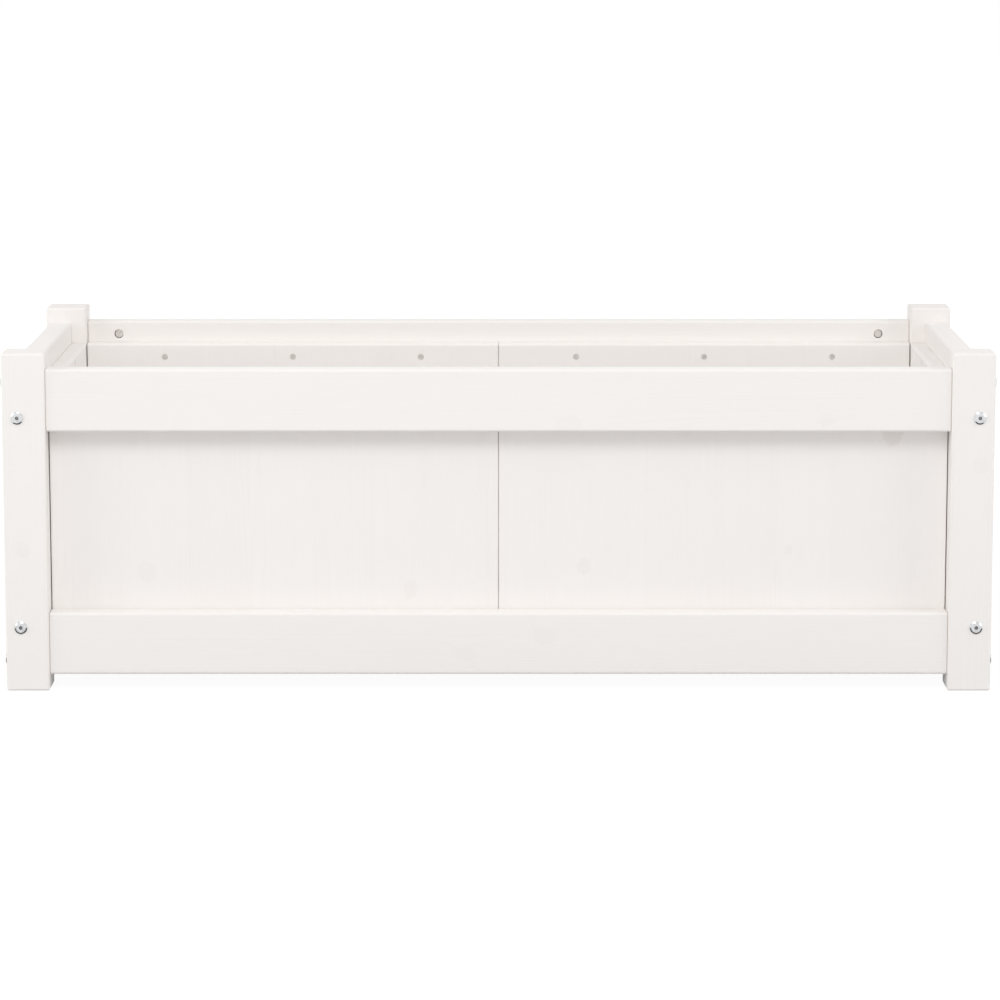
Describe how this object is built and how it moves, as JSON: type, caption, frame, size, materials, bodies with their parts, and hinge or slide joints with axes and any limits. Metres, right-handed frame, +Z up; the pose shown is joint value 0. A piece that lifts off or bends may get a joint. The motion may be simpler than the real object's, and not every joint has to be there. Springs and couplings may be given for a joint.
{
  "type": "raised garden bed",
  "caption": "Low rectangular raised garden bed in white painted pine: corner posts, bolted rails, infill panels screwed inside them and a slatted floor.",
  "frame": {"origin": "on the ground under the middle of the bed, at the centre of its footprint", "axes": "+X along the long sides, to the right as seen from the front; +Y from the front to the back; +Z up"},
  "size_m": [1.104, 0.504, 0.38],
  "materials": {
    "painted_pine_frame": "thin white paint, satin, on solid pine",
    "painted_pine_panel": "thin white paint, satin, on glued pine board with faint knots",
    "painted_pine_floor": "thin white paint, satin, on solid pine",
    "zinc_plated_steel": "bright zinc plating",
    "beech": "bare beech"
  },
  "bodies": {
    "root": {"post_front_left": "painted_pine_frame", "post_front_right": "painted_pine_frame", "post_back_left": "painted_pine_frame", "post_back_right": "painted_pine_frame", "top_rail_front": "painted_pine_frame", "top_rail_back": "painted_pine_frame", "top_rail_left": "painted_pine_frame", "top_rail_right": "painted_pine_frame", "bottom_rail_front": "painted_pine_frame", "bottom_rail_back": "painted_pine_frame", "bottom_rail_left": "painted_pine_frame", "bottom_rail_right": "painted_pine_frame", "panel_front_left": "painted_pine_panel", "panel_front_right": "painted_pine_panel", "panel_back_left": "painted_pine_panel", "panel_back_right": "painted_pine_panel", "panel_left": "painted_pine_panel", "panel_right": "painted_pine_panel", "floor_cleat_front": "painted_pine_floor", "floor_cleat_back": "painted_pine_floor", "floor_slat_1": "painted_pine_floor", "floor_slat_2": "painted_pine_floor", "floor_slat_3": "painted_pine_floor", "floor_slat_4": "painted_pine_floor", "floor_slat_5": "painted_pine_floor", "floor_slat_6": "painted_pine_floor", "floor_slat_7": "painted_pine_floor", "floor_slat_8": "painted_pine_floor", "floor_slat_9": "painted_pine_floor", "floor_slat_10": "painted_pine_floor", "front_face_bolts": "zinc_plated_steel", "front_rail_barrel_nuts": "zinc_plated_steel", "front_rail_dowels": "beech", "front_panel_screws": "zinc_plated_steel", "back_face_bolts": "zinc_plated_steel", "back_rail_barrel_nuts": "zinc_plated_steel", "back_rail_dowels": "beech", "back_panel_screws": "zinc_plated_steel", "left_face_bolts": "zinc_plated_steel", "left_rail_barrel_nuts": "zinc_plated_steel", "left_rail_dowels": "beech", "left_panel_screws": "zinc_plated_steel", "right_face_bolts": "zinc_plated_steel", "right_rail_barrel_nuts": "zinc_plated_steel", "right_rail_dowels": "beech", "right_panel_screws": "zinc_plated_steel", "front_cleat_screws": "zinc_plated_steel", "back_cleat_screws": "zinc_plated_steel", "slat_screws": "zinc_plated_steel"}
  },
  "joints": []
}
